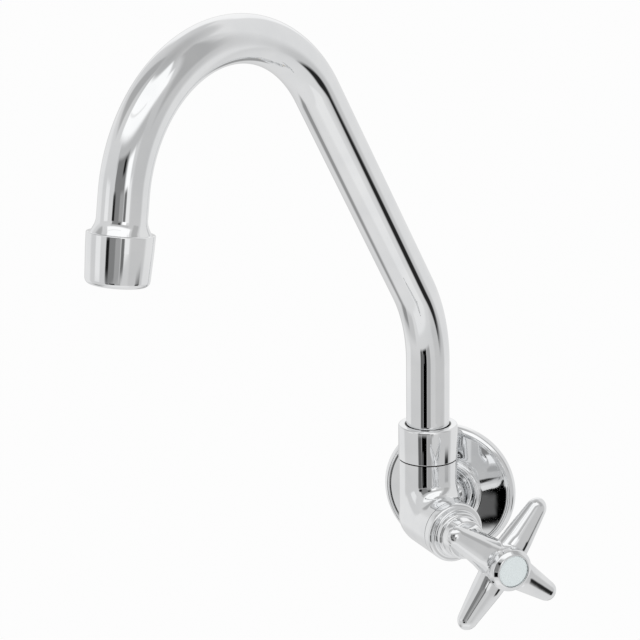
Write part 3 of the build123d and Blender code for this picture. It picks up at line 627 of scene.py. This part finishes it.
for vertex in index_ring.data.vertices:
    local = to_local @ vertex.co
    far = local.xy.length
    if far > (ring_r - 0.25) * MM and local.z < (knurl_top + 0.05) * MM:
        phase = atan2(local.y, local.x) / (2 * pi) * KNURLS % 1
        dip = KNURL_DEPTH * MM * (1 - abs(2 * phase - 1))
        local.xy *= (far - dip) / far
        vertex.co = on_valve @ local
disc_line = round_corners([
    (0, disc_low, 0), (disc_r, disc_low, 0), (disc_r, disc_high - 0.1, 0.2),
    (disc_r - 0.6, disc_high, 0.4), (0, disc_high, 0)])
lathe("index_disc_plain", disc_line, on_valve, "handle", index_enamel, "index_disc", around=96)

# %% [markdown]
# ## Spout nut
# The collar at the foot of the spout is a plain turned nut. Its lip leaves a narrow dark gap round
# the tube, and another thin gap parts it from the neck of the body. Such lines could be painted on,
# but a painted gap stays as dark from every side. These gaps are real, so they are dark by
# themselves.

# %% Spin the spout nut
NUT_BORE_R = 11.8
NUT_LIP = 2.2
low, high, wide, hole = (v / MM for v in (nut_low, nut_high, nut_r, nut_hole))
nut_line = round_corners([
    (NUT_BORE_R, low, 0), (wide, low, 0.3), (wide, high, 1.0), (hole, high, 0.3),
    (hole, high - NUT_LIP, 0), (NUT_BORE_R, high - NUT_LIP, 0)])
lathe("spout_collar", nut_line, on_column, "valve", tube_chrome, "spout_nut")

# %% [markdown]
# ## Spout tube
# The spout is one bent tube: straight column, lower bend, long straight run, gooseneck, and a short
# straight end. A curve object with a round bevel could do it, but its handles only come near a true
# arc. So the centre line is worked out as a tube bender does, from lengths, bend radii and bend
# angles, in steps of about one degree in the bends. Then a ring is swept along it, outside and back
# again inside. Such a sweep shows no facets in the chrome.

# %% Centre line of the spout
TUBE_R = 9.525
TUBE_WALL = 1.0
COLUMN_TOP, LOWER_BEND_R, LOWER_BEND = 71.5, 65.7, 32.65
RUN_L, GOOSE_R, GOOSE_SWEEP, OUTLET_RUN = 111.6, 58.7, 138.3, 9.0
outlet_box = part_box("aerator_core")
spout_dir = (Vector(outlet_box[0]) + Vector(outlet_box[1])) / 2 - column_foot
spout_dir.z = 0
spout_dir.normalize()
spout_side = spout_dir.cross(UP)
tube_foot = measure("spout_tube", on_column)[0] / MM
where = Vector((0.0, tube_foot))
heading = 0.0
spout_line = []
legs = (
    (COLUMN_TOP - tube_foot, 0, 12), (LOWER_BEND_R, LOWER_BEND, 32), (RUN_L, 0, 16),
    (GOOSE_R, GOOSE_SWEEP, 120), (OUTLET_RUN, 0, 4))
for size, sweep, steps in legs:
    step = radians(sweep) / steps
    stride = 2 * size * sin(step / 2) if sweep else size / steps
    for _ in range(steps):
        spout_line.append((where.copy(), heading))
        where += Vector((sin(heading + step / 2), cos(heading + step / 2))) * stride
        heading += step
spout_line.append((where.copy(), heading))
print("spout stations:", len(spout_line))
print("spout reach", round(where.x, 1), "mm, outlet leans", round(180 - degrees(heading), 1), "degrees")


# %% Sweep the tube
def across_tube(flat, heading):
    """Frame whose Z runs along the tube at a point of its centre line."""
    spot = column_foot + spout_dir * (flat.x * MM) + UP * (flat.y * MM)
    return axis_frame(spot, spout_dir * sin(heading) + UP * cos(heading), spout_side)


AROUND_TUBE = 96
bore_r = TUBE_R - TUBE_WALL
stations = [across_tube(flat, heading) for flat, heading in spout_line]
outside = [[place @ p for p in circle(TUBE_R * MM, 0, AROUND_TUBE)] for place in stations]
inside = [[place @ p for p in circle(bore_r * MM, 0, AROUND_TUBE)] for place in reversed(stations)]
tube_mesh = as_mesh(skin(outside + inside, loop=True))
dress(tube_mesh, "spout_pipe", "spout", tube_chrome, "spout_tube", sharp=40)

# %% [markdown]
# ## Outlet
# The tube's end flares into a ferrule, and the aerator's housing screws onto that. The housing is
# a little narrower at its foot and has a well rounded lower edge. Under it, behind the open lip,
# lies a woven strainer. A cone would do for the flare, but metal that is spun outwards curves away
# from the tube. A quarter of a cosine wave starts level with the tube and has that curve.

# %% Flare and housing
on_outlet = stations[-1]
shell_low, shell_high, shell_r, shell_lip = [v / MM for v in measure("aerator_shell", on_outlet)]
shell_end = shell_high - 0.7
ferrule_high = measure("outlet_ferrule", on_outlet)[1] / MM
FLARE_R = 11.4
FLARE_STEPS = 12
CORE_BORE_R = 7.2
SHELL_BORE_R = 10.65
SHELL_LIP = 1.2
flare = []
for i in range(FLARE_STEPS + 1):
    share = i / FLARE_STEPS
    flare.append((TUBE_R + (FLARE_R - TUBE_R) * (1 - cos(pi / 2 * share)), shell_low * share))
flare += [(10.5, shell_low), (10.5, ferrule_high), (CORE_BORE_R, ferrule_high)]
flare += [(CORE_BORE_R, -4), (8.4, -4), (8.4, 0)]
flare = [(r * MM, h * MM) for r, h in flare]
lathe("outlet_flare", flare, on_outlet, "spout", tube_chrome, "outlet_ferrule")
shell_line = round_corners([
    (SHELL_BORE_R, shell_low, 0), (shell_r, shell_low, 0.5), (shell_r - 0.15, shell_low + 6, 8),
    (shell_r - 0.85, shell_end, 2.4), (shell_lip, shell_end, 0.2), (shell_lip, shell_high - SHELL_LIP, 0),
    (SHELL_BORE_R, shell_high - SHELL_LIP, 0)], 9)
lathe("aerator_housing", shell_line, on_outlet, "spout", tube_chrome, "aerator_shell")

# %% [markdown]
# ## Strainer
# The strainer is woven steel wire. A picture of a mesh on a disc would look flat from close by, and
# straight wires would pass through each other. So each wire goes over and under the ones it crosses,
# by a small wave along its length. Two sets at right angles, cut to the disc, make the weave, and a
# thin rim holds them.

# %% Weave the strainer
screen_low, screen_high, screen_r, _ = [v / MM for v in measure("aerator_screens", on_outlet)]
WIRE_R = 0.13
WIRE_GAP = 1.0


def wire(offset, turned, level):
    """One wavy wire of the weave as a thin six-sided rod."""
    half = sqrt((screen_r - 0.3) ** 2 - offset ** 2)
    steps = max(4, int(half * 8 / WIRE_GAP))
    first_up = 1 if (round(offset / WIRE_GAP) % 2 == 0) != turned else -1
    rings = []
    for i in range(steps + 1):
        along = -half + 2 * half * i / steps
        lift = first_up * WIRE_R * cos(pi * along / WIRE_GAP)
        ring = []
        for flat in circle(WIRE_R, 0, 6):
            across, height = offset + flat.x, level + lift + flat.y
            spot = (across, along, height) if turned else (along, across, height)
            ring.append(on_outlet @ (Vector(spot) * MM))
        rings.append(ring)
    return skin(rings)


levels = (screen_high - 0.3, screen_low + 0.3)
wire_count = int((screen_r - 1) / WIRE_GAP)
weave = [wire(number * WIRE_GAP, turned, level) for level in levels for turned in (False, True)
         for number in range(-wire_count, wire_count + 1)]
RIM_W = 0.6
RIM_HALF_T = 0.2
dress(as_mesh(*weave), "strainer_weave", "spout", bright_steel, sharp=80)
for number, level in enumerate(levels):
    bottom, top = level - RIM_HALF_T, level + RIM_HALF_T
    band = round_corners([
        (screen_r - RIM_W, bottom, 0), (screen_r, bottom, 0), (screen_r, top, 0),
        (screen_r - RIM_W, top, 0)])
    rim_name = f"strainer_rim_{number + 1}"
    lathe(rim_name, band, on_outlet, "spout", bright_steel, "aerator_screens", around=72)

# %% [markdown]
# ## Studio
# Mirror chrome has no look of its own: it shows the room. The faucet was photographed in a pale room
# with a wide soft light overhead, grey walls at both sides and dark cards in front, which give the
# black stripe on every upright part. Real lamps and boards could be set up round the faucet, but
# every one would also change the light on the soft pieces. So the world is built as a studio is: a
# pale backdrop that changes with height comes first, and lights and cards are hung before it.

# %% World: directions
CAMERA_AZIMUTH = 19.47
world = bpy.data.worlds.new("studio")
bpy.context.scene.world = world
world.use_nodes = True
air = world.node_tree
air.nodes.clear()


def world_math(operation, *values):
    """A maths node in the world's tree."""
    node = air.nodes.new("ShaderNodeMath")
    node.operation = operation
    for socket, value in zip(node.inputs, values):
        if isinstance(value, (int, float)):
            socket.default_value = value
        else:
            air.links.new(value, socket)
    return node.outputs[0]


direction = air.nodes.new("ShaderNodeTexCoord")
parts = air.nodes.new("ShaderNodeSeparateXYZ")
air.links.new(direction.outputs["Generated"], parts.inputs["Vector"])
out_of_wall = world_math("MULTIPLY", parts.outputs["Y"], -1.0)
bearing = world_math("DEGREES", world_math("ARCTAN2", parts.outputs["X"], out_of_wall))
height = world_math("DEGREES", world_math("ARCSINE", parts.outputs["Z"]))
print("the world knows its bearing and its height in degrees")

# %% World: backdrop
backdrop = air.nodes.new("ShaderNodeValToRGB")
air.links.new(world_math("DIVIDE", world_math("ADD", height, 90), 180), backdrop.inputs["Fac"])
shades = [
    (-90, 0.80), (-45, 0.76), (-20, 0.66), (0, 0.70), (30, 0.72), (60, 0.64), (75, 0.52), (90, 0.46)]
while len(backdrop.color_ramp.elements) < len(shades):
    backdrop.color_ramp.elements.new(0.5)
for element, (at, level) in zip(backdrop.color_ramp.elements, shades):
    element.position = (at + 90) / 180
    element.color = (level, level, level, 1)
print("backdrop shades:", len(shades))

# %% [markdown]
# ## Lights and cards
# In a studio each dark or bright band on chrome comes from one board or lamp, and the photographer
# moves it until the band sits well. Here each one is a patch of the sky with soft edges. It has a
# left and a right bearing, a lowest and a highest angle, a brightness and the softness of its edge.
# Bearings count from the camera, positive to its right, and a later card hangs before the earlier
# ones. A picture of a room would be quicker, but then no single band could be moved.

# %% World: lights and cards
def inside_span(value, low, high, soft, turns=False):
    """1 between two angles and 0 outside, with soft edges. Bearings wrap at half a turn."""
    away = world_math("SUBTRACT", value, (low + high) / 2)
    if turns:
        away = world_math("WRAP", away, 180, -180)
    edge = air.nodes.new("ShaderNodeMapRange")
    edge.interpolation_type = "SMOOTHSTEP"
    edge.inputs["From Min"].default_value = (high - low) / 2 + soft
    edge.inputs["From Max"].default_value = (high - low) / 2 - soft
    air.links.new(world_math("ABSOLUTE", away), edge.inputs["Value"])
    return edge.outputs["Result"]


def hang(behind, left, right, low, high, level, soft):
    """Puts one light or card before what the room shows so far."""
    across = inside_span(bearing, left + CAMERA_AZIMUTH, right + CAMERA_AZIMUTH, soft, turns=True)
    upright = inside_span(height, low, high, soft)
    mix = air.nodes.new("ShaderNodeMix")
    mix.data_type = "RGBA"
    air.links.new(world_math("MULTIPLY", across, upright), mix.inputs["Factor"])
    air.links.new(behind, mix.inputs["A"])
    mix.inputs["B"].default_value = (level, level, level, 1)
    return mix.outputs["Result"]


# name: (left, right, lowest, highest, brightness, softness), angles in degrees
cards = {
    "pale wall on the left": (-152, -106, -30, 16, 0.84, 6),
    "long wall on the right": (38, 92, -34, 30, 0.6, 5),
    "pale wall at the back right": (97, 172, -30, 56, 0.8, 5),
    "white backdrop behind": (156, 204, 6, 42, 0.98, 5),
    "dark corner behind": (147, 165, -56, -30, 0.35, 3),
    "light overhead": (-64, 45, 34, 72, 1.1, 4),
    "right end of that light": (42, 53, 34, 50, 1.1, 3),
    "seam in that light": (-60, 10, 47, 49, 0.9, 1),
    "shade high on the right": (62, 87, 8, 66, 0.46, 5),
    "shade high on the left": (-128, -90, 28, 74, 0.44, 5),
    "table low on the left": (-128, -62, -60, -36, 0.6, 5),
    "dark box on that table": (-122, -98, -60, -42, 0.31, 4),
    "wide grey card": (-45, 40, 18, 31, 0.54, 3),
    "light from the left": (-82, -62, -10, 8, 0.9, 3),
    "light from the right": (19, 34, -11, 3, 0.9, 2),
    "bright panel on the right": (8, 25, 1, 18, 1.15, 3),
    "grey card in front": (-39, 4, -12, 23, 0.235, 2),
    "black flag on its left": (-42, -31, -9, 4, 0.01, 2),
    "black flag on top": (-10, -1, 12, 21, 0.01, 2),
    "pale gap in that card": (-11, 6, -13, 3, 0.38, 2),
    "stand beside it": (8, 18, -13, 2, 0.17, 2),
    "grey apron": (-6, 12, -31, -13, 0.4, 2),
    "black apron": (-27, -7.5, -31, -13, 0.0, 1.5),
    "worn side of that apron": (-28, -20.5, -27.5, -20.5, 0.115, 1),
    "soft edge of the apron": (-41, -28, -31, -13, 0.12, 2),
    "black card low on the right": (67, 84, -37, -21, 0.02, 3),
    "pale floor in front": (-40, 50, -64, -44, 0.87, 3),
}
room = backdrop.outputs["Color"]
for card in cards.values():
    room = hang(room, *card)
print("lights and cards:", len(cards))


# %% [markdown]
# ## Who sees the cards
# The cards are there for the mirror alone. If the camera saw them, the background would be patchy,
# and if they lit the soft pieces, these would come out lighter on one side. Light Path tells the
# world what kind of ray has come. Reflections get the cards, the camera gets plain white, and every
# other ray gets an even pale light.

# %% World: who sees what
def background(colour):
    """A world shader of one colour, or of a colour that is worked out."""
    node = air.nodes.new("ShaderNodeBackground")
    if isinstance(colour, (int, float)):
        node.inputs["Color"].default_value = (colour, colour, colour, 1)
    else:
        air.links.new(colour, node.inputs["Color"])
    return node.outputs[0]


def chosen(factor, normally, instead):
    """Shows one shader, and another one to the rays that the factor picks."""
    node = air.nodes.new("ShaderNodeMixShader")
    for socket, value in zip(node.inputs, (factor, normally, instead)):
        air.links.new(value, socket)
    return node.outputs[0]


rays = air.nodes.new("ShaderNodeLightPath")
for_surfaces = chosen(rays.outputs["Is Glossy Ray"], background(0.9), background(room))
for_everyone = chosen(rays.outputs["Is Camera Ray"], for_surfaces, background(1.0))
world_out = air.nodes.new("ShaderNodeOutputWorld")
air.links.new(for_everyone, world_out.inputs["Surface"])
print("world nodes:", len(air.nodes))

# %% [markdown]
# ## Floor
# The faucet hangs high on a wall, so only a pale floor far below it closes the picture. A plain
# matt floor would come out grey against the white background. So most of what the camera sees of it
# is an even white glow, and the rest still takes the shadow. Reflections don't see the floor, since
# the cards already stand for it.

# %% Lay the floor
FLOOR_DEPTH = 0.95
FLOOR_HALF = 9
FLOOR_GLOW_SHARE = 0.92
floor_mesh = bpy.data.meshes.new("floor")
square = ((-1, -1), (1, -1), (1, 1), (-1, 1))
floor_corners = [(x * FLOOR_HALF, y * FLOOR_HALF, -FLOOR_DEPTH) for x, y in square]
floor_mesh.from_pydata(floor_corners, [], [(0, 1, 2, 3)])
floor = bpy.data.objects.new("floor", floor_mesh)
bpy.context.scene.collection.objects.link(floor)
floor_paint, floor_tree, floor_shader = blank_material("floor_paint")
floor_shader.inputs["Roughness"].default_value = 0.9
floor_shader.inputs["Base Color"].default_value = (0.85, 0.85, 0.85, 1)
glow = floor_tree.nodes.new("ShaderNodeEmission")
glow.inputs["Color"].default_value = (1, 1, 1, 1)
glow.inputs["Strength"].default_value = 1.0
floor_rays = floor_tree.nodes.new("ShaderNodeLightPath")
glow_share = floor_tree.nodes.new("ShaderNodeMath")
glow_share.operation = "MULTIPLY"
glow_share.inputs[1].default_value = FLOOR_GLOW_SHARE
floor_mix = floor_tree.nodes.new("ShaderNodeMixShader")
floor_out = [n for n in floor_tree.nodes if n.type == "OUTPUT_MATERIAL"][0]
floor_tree.links.new(floor_rays.outputs["Is Camera Ray"], glow_share.inputs[0])
floor_tree.links.new(glow_share.outputs[0], floor_mix.inputs["Fac"])
floor_tree.links.new(floor_shader.outputs["BSDF"], floor_mix.inputs[1])
floor_tree.links.new(glow.outputs[0], floor_mix.inputs[2])
floor_tree.links.new(floor_mix.outputs[0], floor_out.inputs["Surface"])
floor.data.materials.append(floor_paint)
floor.visible_glossy = False
print("floor", FLOOR_DEPTH, "m below the inlet")

# %% [markdown]
# ## Camera
# The camera stands where the photograph was taken from: a little to the right and above, about a
# metre away, with a long lens. It could be moved by eye until the picture looks right, but a wrong
# distance with a wrong lens can look right too. So its distance, angles and focal length were found
# by matching the edges of the tube, collar, flange and handle, and they are written as real sizes.

# %% Place the camera
CAMERA_ELEVATION = 16.03
CAMERA_ROLL = -0.905
CAMERA_DISTANCE = 0.9456
SENSOR = 36.0
FOCAL_PIXELS, FRAME_PIXELS = 2171.3, 640
AIM_RIGHT, AIM_UP = -0.04693, 0.09118
azimuth, elevation, roll = (radians(a) for a in (CAMERA_AZIMUTH, CAMERA_ELEVATION, CAMERA_ROLL))
back = Vector((sin(azimuth) * cos(elevation), -cos(azimuth) * cos(elevation), sin(elevation)))
right = Vector((cos(azimuth), sin(azimuth), 0))
above = back.cross(right)
aim = column_foot + right * AIM_RIGHT + UP * AIM_UP
lens_right = right * cos(roll) + above * sin(roll)
lens_up = above * cos(roll) - right * sin(roll)
camera_data = bpy.data.cameras.new("camera")
camera_data.sensor_width = SENSOR
camera_data.lens = FOCAL_PIXELS * SENSOR / FRAME_PIXELS
camera_data.clip_end = 50
camera = bpy.data.objects.new("camera", camera_data)
bpy.context.scene.collection.objects.link(camera)
lens_turn = Matrix((lens_right, lens_up, back)).transposed().to_4x4()
camera.matrix_world = Matrix.Translation(aim + back * CAMERA_DISTANCE) @ lens_turn
bpy.context.scene.camera = camera
bpy.context.scene.view_settings.view_transform = "Standard"
print("camera", [round(v, 4) for v in camera.matrix_world.translation])
print("lens", round(camera_data.lens, 1), "mm")
